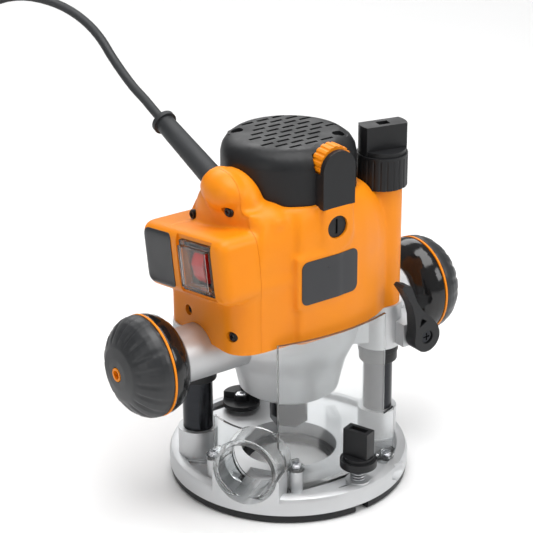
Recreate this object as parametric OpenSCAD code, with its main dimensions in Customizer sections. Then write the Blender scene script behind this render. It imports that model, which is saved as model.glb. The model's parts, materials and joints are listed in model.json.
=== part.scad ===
// Compact plunge router: a round die-cast base with two columns, a motor carriage that
// plunges on them, side knobs, a chip guard with a hose port, and a mains lead.
// Origin: centre of the base on the surface it stands on. +Z up, knobs along X, front -Y.

/* [Base] */
// Radius of the round base
base_r = 80; // [78:0.5:84]
// Thickness of the plastic sole
sole_t = 6; // [4:0.5:7]
// Height of the rim of the casting
rim_z = 18.5; // [17:0.5:20]
// Radius of the cutter opening
opening_r = 32; // [28:0.5:34]
// Height of the two column bosses
boss_z = 37.5; // [34:0.5:40]
// Radius of the column bosses
boss_r = 13.2; // [13:0.1:14]

/* [Columns] */
// Radius of each plunge column
column_r = 10; // [9:0.5:11]
// Distance of a column from the centre
column_dist = 61.6; // [61:0.1:63]
// Turn of the column line about the vertical
column_turn = -22; // [-24:1:-20]
// Plunge travel
plunge = 33; // [25:1:33]

/* [Carriage] */
// Height of the knob axis
knob_z = 105.5; // [104:0.5:107]
// Radius of the arms that carry the knobs
arm_r = 18; // [16:0.5:18]
// Distance of the end face of an arm from the centre
arm_x = 92; // [90:0.5:93]
// Height of the lower edge of the orange shells
shell_z = 115.5; // [114:0.5:117]
// Height of the joint between shells and top cap
cap_z = 202; // [200:1:204]

/* [Top cap] */
// Radius of the top cap
cap_r = 43; // [42:0.5:44]
// Height of the top of the cap
top_z = 237; // [235:0.5:240]

/* [Knobs] */
// Largest radius of a side knob
knob_r = 33; // [30:0.5:35]
// Distance of the coloured ring of a knob from the centre
ring_x = 108; // [106:0.5:110]
// Distance of the end of a knob from the centre
knob_end_x = 131; // [129:0.5:133]

/* [Switch block] */
// Distance of the end face of the switch block from the centre
block_x = 80; // [79:0.5:82]
// Left end of the switch block
block_end_y = 51; // [48:0.5:52]
// Tilt of the switch block about the knob axis direction
block_tilt = -9.5; // [-10:0.5:-9]

/* [Mains lead] */
// Diameter of the mains lead
cord_d = 6; // [5.5:0.5:6]
// Mean radius of the stored coil
coil_r = 36; // [36:1:38]

/* [Hidden] */
$fn = 64;

fit = 0.05;
wall = 3;
floor_z = 15.5;
big = 400;
column_bore_r = 6.5;
column_top_z = 146;
column_foot_z = 8;
port_turn = -147;
port_z = 34;
port_r = 20.6;
port_wall = 2;
guard_r = 57;
guard_wall = 2;
front_arc_y = 94.5;
front_arc_r = 150;
guard_top_z = 119;
low_guard_z = 52;
post_r = 4.4;
post_top_z = 31;
post_left = [-67, -10];
post_front = [-33, -54];
lug_right = [38, -58];
fence_y = 70;
fence_at = [[5, -70], [28, 70]];
rod_bore_r = 4.05;
rod_bore_z = 12.2;
depth_rod_at = [-7, 54];
turret_at = [3, 60];
tower_r = 13.5;
tower_z = 197;
plate_z = 196;
roof_z = 234.5;
spring_pitch = 9.15;
motor_bore_r = 41;
bulge_x = 2.4;
bulge_half = 12.25;
bulge_y = -50;
dial_z = 228.5;
dial_r = 12;
brush_z = 189;
lever_at = [72, 96];
lever_y = -56;
block_at = [-1, 166.5];
parting_x = -53;
cord_exit = [-53, 5.6, 216];
cord_rise = 20.6;
cord_guard_len = 61;
coil_at = [-160, 231];

// Points of the lead from the strain relief, up and over, and down to the coil
cord_route = [
  [-53, 63.1, 237.7], [-53, 72, 241], [-53, 84, 246], [-53, 98, 251], [-53, 112, 258],
  [-53, 124, 265], [-53, 136, 273], [-54, 150, 280], [-59, 164, 287], [-69, 175, 293],
  [-84, 183, 297], [-101, 187, 296], [-117, 188, 288], [-130, 188, 273],
  [-139, 187, 251], [-144, 186, 222], [-146, 185, 188], [-145, 184, 152],
  [-142, 183, 116], [-139, 183, 82], [-136, 183, 54], [-135, 183, 32],
  [-139, 183, 15], [-148, 183, 6], [-160, 183, 3]
];

// ---- shared shapes ----

module rod(r, z0, z1) {
  translate([0, 0, z0]) cylinder(r = r, h = z1 - z0);
}

module tube(r_out, r_in, z0, z1) {
  difference() {
    rod(r_out, z0, z1);
    rod(r_in, z0 - 1, z1 + 1);
  }
}

module at_column(side) {
  rotate([0, 0, column_turn]) translate([side * column_dist, 0, 0]) children();
}

module along_x(x, y, z) {
  translate([x, y, z]) rotate([0, 90, 0]) children();
}

module along_y(x, y, z) {
  translate([x, y, z]) rotate([-90, 0, 0]) children();
}

module on_port_axis() {
  rotate([0, 0, port_turn]) translate([0, 0, port_z]) rotate([0, 90, 0]) children();
}

module box(low, high) {
  translate(low) cube(high - low);
}

// A pan-head screw standing on z = 0, with its shank below
module pan_screw(r, shank, depth) {
  difference() {
    union() {
      rod(r, 0, 1.6);
      rod(r * 0.8, 1.6, 2.6);
      rod(shank, -depth, 0);
    }
    for (a = [0, 90]) rotate([0, 0, a]) box([-r * 0.6, -0.5, 1.2], [r * 0.6, 0.5, 4]);
  }
}

// One turn of wire at height z
module wire_ring(ring_r, wire_r, z) {
  translate([0, 0, z]) rotate_extrude() translate([ring_r, 0]) circle(r = wire_r, $fn = 16);
}

// ---- base ----

module base_casting() {
  color("silver") difference() {
    union() {
      rotate_extrude() polygon([
        [opening_r, sole_t], [base_r, sole_t], [base_r, rim_z - 4], [base_r - 1.2, rim_z - 1.2],
        [base_r - 4, rim_z], [base_r - 7, rim_z], [base_r - 9, floor_z], [opening_r, floor_z]
      ]);
      for (side = [-1, 1]) at_column(side) {
        rod(boss_r, floor_z - 1, boss_z);
        rod(boss_r + 1.5, floor_z - 1, floor_z + 2);
      }
      intersection() {
        rotate([0, 0, port_turn]) box([62, -23, sole_t], [82, 23, 31]);
        rod(base_r, sole_t, 40);
      }
      for (p = [post_left, post_front]) translate(p) rod(post_r, floor_z - 1, post_top_z);
      translate(lug_right) rod(5, floor_z - 1, 18);
      intersection() {
        for (p = fence_at) translate(p) rod(8, floor_z - 1, rim_z + 0.5);
        rod(base_r, 0, big);
      }
      translate(turret_at) rod(6, floor_z - 1, rim_z);
    }
    for (side = [-1, 1]) at_column(side) rod(column_r, column_foot_z, big);
    on_port_axis() rod(port_r + 1.5, 40, big);
    for (s = [-1, 1]) {
      along_x(-24, s * fence_y, rod_bore_z) rod(rod_bore_r, 0, 90);
      along_x(36, s * fence_y, rod_bore_z) rod(6, 0, 40);
    }
    for (p = fence_at) translate(p) rod(3, rod_bore_z, big);
    for (p = [post_left, post_front]) translate(p) rod(1.6, 20, big);
    translate(lug_right) rod(1.6, 9, big);
    translate(turret_at) rod(2.5, 8, big);
    for (a = [20, 110, 200, 290]) rotate([0, 0, a]) translate([52, 0, 0]) rod(1.7, 0, 13);
  }
}

module sole_plate() {
  color("#1d1f20") difference() {
    rotate_extrude() polygon([
      [opening_r - 4, 0], [base_r - 2, 0], [base_r - 0.6, 1.4],
      [base_r - 0.6, sole_t], [opening_r - 4, sole_t]
    ]);
    for (a = [20, 110, 200, 290]) rotate([0, 0, a]) translate([52, 0, 0]) {
      rod(2, -1, 20);
      rod(4, -1, 2.5);
    }
    rotate([0, 0, -89]) box([base_r - 8, -5, -1], [base_r + 2, 5, sole_t + 1]);
  }
}

module sole_screws() {
  color("silver") for (a = [20, 110, 200, 290]) rotate([0, 0, a]) translate([52, 0, 0]) difference() {
    union() {
      rod(3.6, 0.9, 2.5);
      rod(1.7, 2, 12.5);
    }
    for (b = [0, 90]) rotate([0, 0, b]) box([-2, -0.5, 0], [2, 0.5, 1.7]);
  }
}

module column(side, top) {
  at_column(side) difference() {
    rod(column_r, column_foot_z, top);
    rod(column_bore_r, 20, top + 1);
  }
}

module column_left() {
  color("#26282a") column(-1, column_top_z - 4);
}

module column_right() {
  color("#26282a") column(1, column_top_z);
}

// Plan of the band between two arcs parallel to the front wall of the chip guard
module front_band(outside, inside, x0, x1) {
  difference() {
    translate([0, front_arc_y]) circle(r = front_arc_r + outside, $fn = 192);
    translate([0, front_arc_y]) circle(r = front_arc_r - inside, $fn = 192);
    translate([-big, -big]) square([big + x0, 2 * big]);
    translate([x1, -big]) square([big, 2 * big]);
    translate([-big, -20]) square([2 * big, 2 * big]);
  }
}

module guard_posts(grow, low) {
  for (p = [post_left, post_front]) translate(p) rod(post_r + grow, low, post_top_z);
  translate(lug_right) rod(5 + grow, low, 18);
}

module guard_walls() {
  // tall front wall, with a lower wing on the right
  translate([0, 0, floor_z]) linear_extrude(guard_top_z - floor_z) front_band(0, guard_wall, -43, 42);
  translate([0, 0, floor_z]) linear_extrude(30) front_band(0, guard_wall, 40, 54);
  // low left wall
  difference() {
    rod(guard_r, floor_z, low_guard_z);
    rod(guard_r - guard_wall, floor_z - 1, big);
    box([-big, 5, -1], [big, big, big]);
    box([-38, -big, -1], [big, big, big]);
  }
  // foot flanges
  translate([0, 0, floor_z]) linear_extrude(2) front_band(4, guard_wall, -43, 51);
  difference() {
    rod(guard_r + 5, floor_z, floor_z + 2);
    rod(guard_r - guard_wall, floor_z - 1, big);
    box([-big, -6, -1], [big, big, big]);
    box([-38, -big, -1], [big, big, big]);
  }
  // lugs on the posts
  for (p = [post_left, post_front]) translate(p) rod(post_r + 1, post_top_z, post_top_z + 2);
  rotate([0, 0, -173]) box([55.5, -5, post_top_z], [64, 5, post_top_z + 2]);
  translate(lug_right) rod(5, 18, 20);
  box([34, lug_right.y, 18], [42, -50, 20]);
}

module dust_guard() {
  color("lightcyan", 0.35) difference() {
    union() {
      difference() {
        guard_walls();
        // room for the port block of the base
        rotate([0, 0, port_turn]) box([61.6, -23.4, 0], [big, 23.4, post_top_z - 0.2]);
      }
      // hose port
      on_port_axis() rod(port_r, 50, 77);
      on_port_axis() rod(port_r + 1.2, 75, 77);
    }
    on_port_axis() rod(port_r - port_wall, 40, big);
    rod(53.4, 0, big);
    box([-big, -big, -1], [big, big, floor_z]);
    guard_posts(0.3, 0);
    for (p = [post_left, post_front]) translate(p) rod(3.8, post_top_z + 2, post_top_z + 6);
    for (p = [post_left, post_front, lug_right]) translate(p) rod(1.8, 0, big);
  }
}

module guard_screws() {
  color("silver") {
    for (p = [post_left, post_front]) translate([p.x, p.y, post_top_z + 2]) pan_screw(3.4, 1.6, 12);
    translate([lug_right.x, lug_right.y, 20]) pan_screw(3.4, 1.6, 10);
  }
}

module fence_knob() {
  difference() {
    union() {
      rod(12, 29, 34);
      rod(10, 34, 36.5);
      box([-4.5, -9, 34], [4.5, 9, 55]);
      rod(2.95, 16.5, 30);
    }
    box([-2, -6, 50], [2, 6, 56]);
  }
}

module fence_knob_front() {
  color("#1d1f20") translate(fence_at[0]) rotate([0, 0, 20]) fence_knob();
}

module fence_knob_rear() {
  color("#1d1f20") translate(fence_at[1]) rotate([0, 0, -30]) fence_knob();
}

module fence_springs() {
  color("silver") for (p = fence_at) translate(p)
    for (k = [0 : 4]) wire_ring(4.4, 0.75, rim_z + 1.3 + k * 2);
}

module turret_stop() {
  color("#1d1f20") translate(turret_at) difference() {
    union() {
      rod(13, rim_z + 0.3, 22);
      difference() {
        rod(13, 21, 27);
        rotate([0, 0, 130]) box([0, 0, 20], [20, 20, 30]);
        rotate([0, 0, 180]) box([0, 0, 20], [20, 20, 30]);
        rotate([0, 0, 215]) box([0, 0, 20], [20, 20, 30]);
      }
      difference() {
        rod(13, 26, 32);
        rotate([0, 0, 60]) box([0, 0, 20], [20, 20, 40]);
        rotate([0, 0, 130]) box([0, 0, 20], [20, 20, 40]);
        rotate([0, 0, 180]) box([0, 0, 20], [20, 20, 40]);
        rotate([0, 0, 215]) box([0, 0, 20], [20, 20, 40]);
      }
      rod(5, rim_z + 0.3, 27);
    }
    rod(2.6, 0, big);
    rod(4.6, 24.5, big);
  }
}

module turret_screw() {
  color("silver") translate([turret_at.x, turret_at.y, 24.5]) pan_screw(4.2, 2.45, 15);
}

// ---- mains lead ----

function unit(v) = v / norm(v);
function tangent(p, i) = unit(p[min(i + 1, len(p) - 1)] - p[max(i - 1, 0)]);
function catmull(a, b, c, d, t) =
  0.5 * (2 * b + (c - a) * t + (2 * a - 5 * b + 4 * c - d) * t * t + (3 * b - a - 3 * c + d) * t * t * t);
function smooth_path(p, n) = concat(
  [for (i = [0 : len(p) - 2]) for (k = [0 : n - 1])
    catmull(p[max(i - 1, 0)], p[i], p[i + 1], p[min(i + 2, len(p) - 1)], k / n)],
  [p[len(p) - 1]]
);
function side_of(t) = unit(cross(t, abs(t.z) > 0.9 ? [0, 1, 0.2] : [0.02, 0.01, 1]));

// A round tube through the points of a path; side directions are carried along it
function carried(t, s, i) = i == len(t) ? [] : let(n = unit(s - (s * t[i]) * t[i]))
  concat([n], carried(t, n, i + 1));

module swept_tube(path, r, sides) {
  t = [for (i = [0 : len(path) - 1]) tangent(path, i)];
  s = carried(t, side_of(t[0]), 0);
  points = [for (i = [0 : len(path) - 1]) for (k = [0 : sides - 1])
    let(a = 360 * k / sides) path[i] + r * (cos(a) * s[i] + sin(a) * cross(t[i], s[i]))];
  last = (len(path) - 1) * sides;
  faces = concat(
    [[for (k = [0 : sides - 1]) k]],
    [for (i = [0 : len(path) - 2]) for (k = [0 : sides - 1])
      [i * sides + k, (i + 1) * sides + k, (i + 1) * sides + (k + 1) % sides, i * sides + (k + 1) % sides]],
    [[for (k = [sides - 1 : -1 : 0]) last + k]]
  );
  polyhedron(points, faces);
}

module mains_cord() {
  color("#2b2d2f") swept_tube(smooth_path(cord_route, 2), cord_d / 2, 8);
}

// Outer shape of the stored coil: three turns wide and three high
module cord_coil() {
  half = 1.5 * cord_d;
  color("#2b2d2f") translate([coil_at.x, coil_at.y, 0]) rotate_extrude() polygon([
    [coil_r - half + 1.5, 0], [coil_r + half - 1.5, 0], [coil_r + half, 1.5],
    [coil_r + half, 16.5], [coil_r + half - 1.5, 18], [coil_r - half + 1.5, 18],
    [coil_r - half, 16.5], [coil_r - half, 1.5]
  ]);
}

module at_plug() {
  translate([coil_at.x + 4, coil_at.y + 24, 26.5]) children();
}

module plug_body() {
  color("#2b2d2f") at_plug() {
    along_x(0, 0, 0) rod(8.5, -2, 32);
    box([8, -16, -6.5], [32, 16, 6.5]);
    along_x(-16, 0, 0) rod(5, 0, 16);
  }
}

module plug_pins() {
  color("silver") at_plug() for (s = [-1, 1]) along_x(32, s * 9.5, 0) rod(2.4, 0, 19);
}

// ---- carriage ----

module carriage_casting() {
  color("silver") difference() {
    union() {
      // bowl under the motor, and its nose
      rotate_extrude() polygon([
        [0, 60], [29, 60], [33, 63], [35, 72], [38, 84], [44, 97], [46, 106], [46, shell_z], [0, shell_z]
      ]);
      rod(19.5, 57.5, 61);
      for (s = [-1, 1]) at_column(s) rod(15, 85, shell_z);
      along_x(-arm_x, 0, knob_z) rod(arm_r, 0, 2 * arm_x);
      // webs between the bowl and the column sleeves
      rotate([0, 0, column_turn]) box([-column_dist, -11, 90], [column_dist, 11, shell_z - 0.6]);
      // clamp ears for the lock lever
      box([60, -46, 88], [80, -12, 104]);
      // guide lug for the depth rod
      translate(depth_rod_at) rod(8, 92, shell_z);
      box([-14.6, 30, 92], [0.6, 54, shell_z]);
    }
    rotate_extrude() polygon([
      [0, 76], [15, 76], [15, 88], [37.5, 88], [41, 97], [motor_bore_r, 106], [motor_bore_r, big], [0, big]
    ]);
    rod(9, 50, 80);
    for (s = [-1, 1]) at_column(s) rod(column_r + fit, 50, big);
    along_x(-arm_x - 1, 0, knob_z) rod(3, 0, 27);
    along_x(arm_x - 26, 0, knob_z) rod(3, 0, 27);
    along_y(lever_at.x, -50, lever_at.y) rod(4 + fit, 0, 50);
    along_y(lever_at.x, -12, lever_at.y) rod(7, 0, 14);
    box([66, -23.7, 86], [82, -22.5, 106]);
    translate(depth_rod_at) rod(3 + fit, 50, big);
    for (a = [0 : 60 : 300]) rotate([0, 0, a + 30]) translate([25, 0, 0]) rod(3.5, 50, 95);
  }
}

module column_seals() {
  color("#1d1f20") for (s = [-1, 1]) at_column(s) difference() {
    union() {
      rod(12.9, 73, 85);
      rod(13.6, 80, 85);
    }
    rod(column_r + fit, 60, big);
  }
}

// Plan of the orange body, without the switch block
module body_plan() {
  circle(r = 46);
  translate([-53, -45]) square([33, 90]);
  translate([-27, -49]) square([50, 30]);
  polygon([[20, -49], [28, -48], [40, -45], [50, -39], [58, -30], [58, -12], [20, 20], [0, 0]]);
}

// Axis of the mains lead where it leaves the shells; z = 0 is the outer face of the boss
module on_lead() {
  translate(cord_exit) rotate([cord_rise - 90, 0, 0]) children();
}

// Hole of the strain relief, with the pocket of its flange
module lead_hole() {
  rod(7.4, -40, 40);
  rod(9.2, -22.2, -13.8);
}

module motor_housing() {
  color("orange") difference() {
    union() {
      difference() {
        union() {
          translate([0, 0, shell_z]) linear_extrude(62) body_plan();
          intersection() {
            translate([0, 0, shell_z]) linear_extrude(cap_z - shell_z) union() {
              circle(r = 46.5);
              translate([-53, -42]) square([33, 84]);
              translate([-27, -48]) square([50, 30]);
              polygon([[20, -48], [30, -45], [42, -36], [46, -20], [0, 0]]);
            }
            box([-60, -60, 0], [60, 60, cap_z]);
          }
          at_column(1) rod(tower_r, shell_z + 0.4, tower_z);
          // pad of the front brush cap
          box([bulge_x - bulge_half + 0.05, bulge_y, 184.6],
            [bulge_x + bulge_half - 0.05, -40, cap_z]);
          along_y(bulge_x, bulge_y, 184.6) rod(bulge_half, 0, 10);
          // inner half of the lead boss
          on_lead() intersection() {
            rod(17, -26, 0);
            box([0, -30, -30], [20, 30, 4]);
          }
        }
        rod(motor_bore_r, 100, plate_z);
        rod(36, plate_z + 2.5, big);
        rod(cap_r + 0.3, cap_z, big);
        at_column(1) rod(column_r + 0.6, 100, tower_z - 4);
        at_column(1) rod(4.2, 170, big);
        at_column(1) rod(17, tower_z, big);
        for (p = shell_screw_at) along_x(p.x, p.y, p.z) rod(1.7, 0, 30);
        at_column(-1) rod(column_r + 1, 100, 181);
        box([-60, -40, shell_z - 1], [-30, 40, plate_z]);
        along_x(-100, 0, knob_z) rod(arm_r + 0.1, 0, 200);
        for (s = [-1, 1]) along_y(1.2, s > 0 ? 30 : -60, brush_z) rod(7.5, 0, 30);
        on_lead() lead_hole();
      }
      // bearing seat and the posts of the cap screws
      rod(16, plate_z, 207);
      for (p = cap_screw_at) translate(p) rod(5.5, plate_z, cap_z - 0.1);
    }
    rod(13, plate_z - 1, big);
    for (a = [0 : 90 : 270]) rotate([0, 0, a]) translate([26, 0, 0]) rod(7, plate_z - 1, plate_z + 3);
    for (p = cap_screw_at) translate(p) rod(1.75, plate_z - 1, big);
  }
}

module in_block() {
  translate([0, block_at.x, block_at.y]) rotate([block_tilt, 0, 0]) children();
}

module lower_cover_plan() {
  translate([-62, -42]) square([9, 80]);
  translate([-70, -34]) square([17, 62]);
  translate([-62, -34]) circle(r = 8);
  translate([-58, 28]) circle(r = 12);
}

module switch_housing() {
  color("orange") difference() {
    union() {
      intersection() {
        translate([0, 0, shell_z]) linear_extrude(86) lower_cover_plan();
        box([-70.5, -60, 0], [parting_x, 60, cap_z - 2]);
      }
      in_block() intersection() {
        box([-block_x, -43, -21.5], [parting_x, block_end_y, 21.5]);
        along_x(-block_x - 1, block_end_y / 2 - 21.5, 0) linear_extrude(40) union() {
          square([30, block_end_y + 43], center = true);
          square([43, block_end_y + 27], center = true);
          for (s = [-1, 1]) for (t = [-1, 1]) {
            translate([s * 14.5, t * (block_end_y + 29) / 2]) circle(r = 7);
          }
        }
      }
      on_lead() intersection() {
        rod(17, -26, 0);
        box([-20, -30, -30], [0, 30, 4]);
      }
    }
    difference() {
      translate([0, 0, shell_z - 1]) linear_extrude(81) lower_cover_cavity();
      in_block() box([-big, -60, 21.5 - wall], [big, 60, big]);
    }
    in_block() box([-block_x + wall, -43 + wall, -21.5 + wall],
      [parting_x + 1, block_end_y - wall, 21.5 - wall]);
    // opening of the switch
    in_block() box([-block_x - 1, -31, -16.5], [-60, 5, 16.5]);
    along_x(-90, 0, knob_z) rod(arm_r + 0.3, 0, 60);
    on_lead() lead_hole();
    at_column(-1) rod(column_r + 1, 100, 181);
    for (p = shell_screw_at) along_x(p.x - 6, p.y, p.z) rod(3.6, -20, 8);
    for (p = shell_screw_at) along_x(p.x, p.y, p.z) rod(1.7, 0, 30);
  }
}

shell_screw_at = [[-66, 10.5, 129.5], [-66, -35, 127.5], [-56, 23, 187.5], [-56, -17, 202]];

module lower_cover_cavity() {
  translate([-62, -38]) square([12, 72]);
  translate([-66.5, -31]) square([14, 57]);
}

module shell_screws() {
  color("#3a3c3e") for (p = shell_screw_at)
    along_x(p.x, p.y, p.z) rotate([180, 0, 0]) pan_screw(3.2, 1.6, 12);
}

module top_cap() {
  color("#1d1f20") {
    difference() {
      union() {
        difference() {
          union() {
            rotate_extrude() polygon([
              [0, cap_z], [cap_r, cap_z], [cap_r, top_z - 12], [cap_r - 1, top_z - 7.5],
              [cap_r - 3.2, top_z - 4], [cap_r - 7, top_z - 1.2], [cap_r - 11, top_z], [0, top_z]
            ]);
            box([bulge_x - bulge_half + 0.05, bulge_y, cap_z],
              [bulge_x + bulge_half - 0.05, -30, dial_z - 2.5]);
            along_y(bulge_x, bulge_y, dial_z - 2.5) rod(bulge_half, 0, 20);
          }
          rod(cap_r - 2.5, cap_z - 1, top_z - 10);
          rod(cap_r - 7, cap_z - 1, roof_z);
          box([bulge_x - 10, bulge_y + 2.2, cap_z - 1], [bulge_x + 10, -30, dial_z - 2]);
          // slot of the speed dial
          along_y(bulge_x, -46.6, dial_z) rod(dial_r + 0.8, 0, 10.2);
        }
        // pads that the two cap screws clamp
        for (p = cap_screw_at) translate(p) rod(6, cap_z, roof_z + 1);
      }
      // cooling slots
      for (row = [-4 : 4]) for (k = [-2 : 2]) let(at = [k * 12 + (abs(row) % 2) * 6, row * 6.5 + 2])
        if (norm(at) < 31 && norm(at - cap_screw_at[0]) > 10 && norm(at - cap_screw_at[1]) > 10)
          translate(at) box([-4.5, -1.2, roof_z - 1], [4.5, 1.2, top_z + 2]);
      for (p = cap_screw_at) translate(p) rod(4, top_z - 10, big);
      for (p = cap_screw_at) translate(p) rod(1.8, cap_z - 1, big);
    }
    // axle of the speed dial
    along_y(bulge_x, -48, dial_z) rod(1.9, 0, 12.5);
  }
}

cap_screw_at = [[-24, 22], [24, -20]];

module cap_screws() {
  color("#8a8c8e") for (p = cap_screw_at) translate([p.x, p.y, top_z - 10]) pan_screw(3.4, 1.7, 29);
}

module front_badge() {
  color("#1d1f20") translate([-24, -49.6, 145]) {
    box([2, 0, 0], [40, 0.6, 26]);
    box([0, 0, 2], [42, 0.6, 24]);
    for (x = [2, 40]) for (z = [2, 24]) along_y(x, 0, z) rod(2, 0, 0.6);
  }
}

module rating_plate() {
  color("#2f3234") in_block() box([-block_x - 0.5, 13.5, -17], [-block_x, 44, 18]);
}

module brush_caps() {
  color("#1d1f20") for (turn = [0, 180]) translate([1.2, 0, brush_z]) rotate([0, 0, turn])
    along_y(0, -49, 0) difference() {
      rod(7.2, 0, 5);
      box([-0.8, -5, -1], [0.8, 5, 1.5]);
    }
}

module brush_holders() {
  color("goldenrod") for (s = [0, 180]) translate([1.2, 0, brush_z]) rotate([0, 0, s])
    difference() {
      box([-4.5, -43.8, -5.5], [4.5, -18, 5.5]);
      box([-3, -45, -4], [3, -17, 4]);
    }
}

module carbon_brushes() {
  color("#303030") for (s = [0, 180]) translate([1.2, 0, brush_z]) rotate([0, 0, s])
    box([-3, -30, -4], [3, -13.4, 4]);
}

module brush_springs() {
  color("silver") for (s = [0, 180]) translate([1.2, 0, brush_z]) rotate([0, 0, s])
    for (k = [0 : 5]) along_y(0, -42.8 + k * 2.3, 0) wire_ring(2.2, 0.4, 0);
}

module stator_core() {
  color("#6f7376") tube(motor_bore_r - 0.3, 22.5, 118, 158);
}

module field_coils() {
  color("#b0703a") for (z = [108, 158.5]) difference() {
    tube(36, 25, z, z + 9);
    for (a = [0, 90]) rotate([0, 0, a + 45]) box([-40, -3, z - 1], [40, 3, z + 10]);
  }
}

module speed_board() {
  color("#2f5d3a") box([bulge_x - 10, -46, 206], [bulge_x + 10, -44.4, 215]);
  color("#303030") box([bulge_x - 6, -44.4, 207], [bulge_x + 6, -41, 214]);
}

module cord_guard() {
  color("#2b2d2f") on_lead() difference() {
    union() {
      rotate_extrude() polygon([
        [0, -14], [7.3, -14], [7.3, 0], [6.3, cord_guard_len - 3], [8, cord_guard_len - 3],
        [8, cord_guard_len], [0, cord_guard_len]
      ]);
      rod(9, -22, -14);
    }
    rod(cord_d / 2, -30, cord_guard_len - 18);
  }
}

module cord_clamp() {
  color("#1d1f20") box([-52, -30, 188], [-42, -22, plate_z]);
}

// ---- switch ----

module switch_body() {
  color("#1d1f20") in_block() difference() {
    box([-74, -29, -14], [-56, 3, 14]);
    box([-75, -20, -11.5], [-64, -6, 11.5]);
  }
}

module switch_boot() {
  color("lightcyan", 0.35) in_block() difference() {
    union() {
      box([-block_x + 0.5, -30.5, -16], [-74.2, 4.5, 16]);
      box([-block_x - 2.5, -28, -13.5], [-74.2, 2, 13.5]);
    }
    box([-block_x - 1.3, -26.8, -12.3], [-73, 0.8, 12.3]);
  }
}

module switch_rocker() {
  color("red") in_block() translate([-66, 0, 0]) rotate([0, -8, 0]) translate([66, 0, 0]) difference() {
    intersection() {
      box([-79, -19.2, -10.2], [-66.6, -6.8, 10.2]);
      along_y(-66, -30, 0) rod(12.6, 0, 40);
    }
    along_y(-96.5, -30, 0) rod(18.6, 0, 40);
  }
}

// ---- knobs ----

module knob_front() {
  difference() {
    rotate_extrude() polygon([
      [4.4, 12], [4.4, knob_end_x - ring_x], [10, knob_end_x - ring_x], [17, knob_end_x - ring_x - 1.6],
      [24, knob_end_x - ring_x - 5], [29.5, knob_end_x - ring_x - 10],
      [knob_r - 0.5, 7.5], [knob_r, 4], [knob_r - 0.2, 0.7],
      [6, 0.7], [6, 12]
    ]);
    for (a = [0 : 20 : 340]) rotate([0, 0, a]) translate([knob_r + 1.5, 0, 10])
      rotate([0, -38, 0]) rod(2.6, -14, 14);
  }
}

module knob_ring() {
  tube(knob_r + 0.1, 6, -0.7, 0.7);
}

module knob_back() {
  rotate_extrude() polygon([
    [6, -0.7], [knob_r - 0.2, -0.7], [knob_r - 0.6, -5], [knob_r - 2.5, -10], [knob_r - 6, -14],
    [22.5, -17], [arm_r + 0.1, -18.5], [arm_r + 0.1, arm_x - ring_x], [6, arm_x - ring_x]
  ]);
}

module on_knob(side) {
  translate([side * ring_x, 0, knob_z]) rotate([0, side * 90, 0]) children();
}

module knob_left_front() {
  color("#232527") on_knob(-1) knob_front();
}

module knob_left_ring() {
  color("orange") on_knob(-1) knob_ring();
}

module knob_left_back() {
  color("#161718") on_knob(-1) knob_back();
}

module knob_right_front() {
  color("#232527") on_knob(1) knob_front();
}

module knob_right_ring() {
  color("orange") on_knob(1) knob_ring();
}

module knob_right_back() {
  color("#161718") on_knob(1) knob_back();
}

module knob_inserts() {
  color("orange") for (s = [-1, 1]) on_knob(s) {
    tube(4.4, 3, 12, knob_end_x - ring_x + 0.4);
    tube(6, 3, arm_x - ring_x, 12);
  }
}

module knob_bolts() {
  color("silver") for (s = [-1, 1]) on_knob(s) difference() {
    rod(2.9, -40, 16);
    rod(1.6, 12, 20, $fn = 6);
  }
}

// ---- plunge lock ----

module clamp_bolt() {
  color("silver") along_y(lever_at.x, -50, lever_at.y) difference() {
    union() {
      rod(4, 0.2, 42);
      rod(6.5, 38.2, 42);
    }
    rod(2.05, -1, 4);
  }
}

module lock_lever() {
  color("#1d1f20") translate([lever_at.x, lever_y, lever_at.y]) rotate([-90, 0, 0]) difference() {
    union() {
      rod(10.5, 0, 9.5);
      linear_extrude(9) polygon([
        [-10.3, 2], [-10, -7], [-10.8, -17], [-13.5, -26], [-18, -34], [-22.5, -40.5], [-20.5, -42],
        [-14.6, -39.8], [-9.6, -28], [-4.6, -20.5], [3, -13.5], [9, -6.5], [10.4, 2]
      ]);
    }
    rod(4.6, -1, 3);
    rod(2.05, -1, 12);
    rod(4.05, 6.1, 12);
    linear_extrude(3) polygon([[-6.5, -8.5], [-5.5, -15], [-0.8, -11.8]]);
  }
}

module lever_screw() {
  color("#55585a") translate([lever_at.x, lever_y + 3, lever_at.y]) rotate([90, 0, 0]) difference() {
    union() {
      rod(4.4, 0, 2);
      rod(2, -6.2, 0);
    }
    for (a = [0, 90]) rotate([0, 0, a]) box([-2.6, -0.5, 1], [2.6, 0.5, 3]);
  }
}

// ---- height knob, spring, depth rod ----

module height_knob() {
  color("#1d1f20") at_column(1) rotate([0, 0, -column_turn - 12]) difference() {
    union() {
      rod(16.5, tower_z + 0.3, 219);
      rod(15.2, 218, 222);
      intersection() {
        rod(15.6, 216, 238);
        box([-16, -6.5, 216], [16, 6.5, 238]);
      }
    }
    rod(3.9, 180, 212);
    for (a = [0 : 15 : 345]) rotate([0, 0, a]) translate([17.2, 0, 0]) rod(1.05, 180, 217);
    box([-4, -3, 234], [4, 3, 240]);
  }
}

module height_screw() {
  color("silver") at_column(1) {
    rod(3.9, 150, 212);
    rod(6, tower_z - 6.8, tower_z - 4);
  }
}

module plunge_springs() {
  color("silver") {
    for (side = [-1, 1]) at_column(side) for (k = [0 : 17]) wire_ring(5.2, 0.7, 21 + k * spring_pitch);
  }
}

module depth_rod() {
  color("#9a9ea0") translate(depth_rod_at) {
    rod(3, 66, 150);
    rod(5, 66, 70);
  }
}

module speed_dial() {
  color("orange") along_y(bulge_x, -46.2, dial_z) difference() {
    rod(dial_r, 0, 9);
    for (a = [0 : 20 : 340]) rotate([0, 0, a]) translate([dial_r + 0.7, 0, 0]) rod(1.3, -1, 10);
    rod(2, -1, 10);
  }
}

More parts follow.
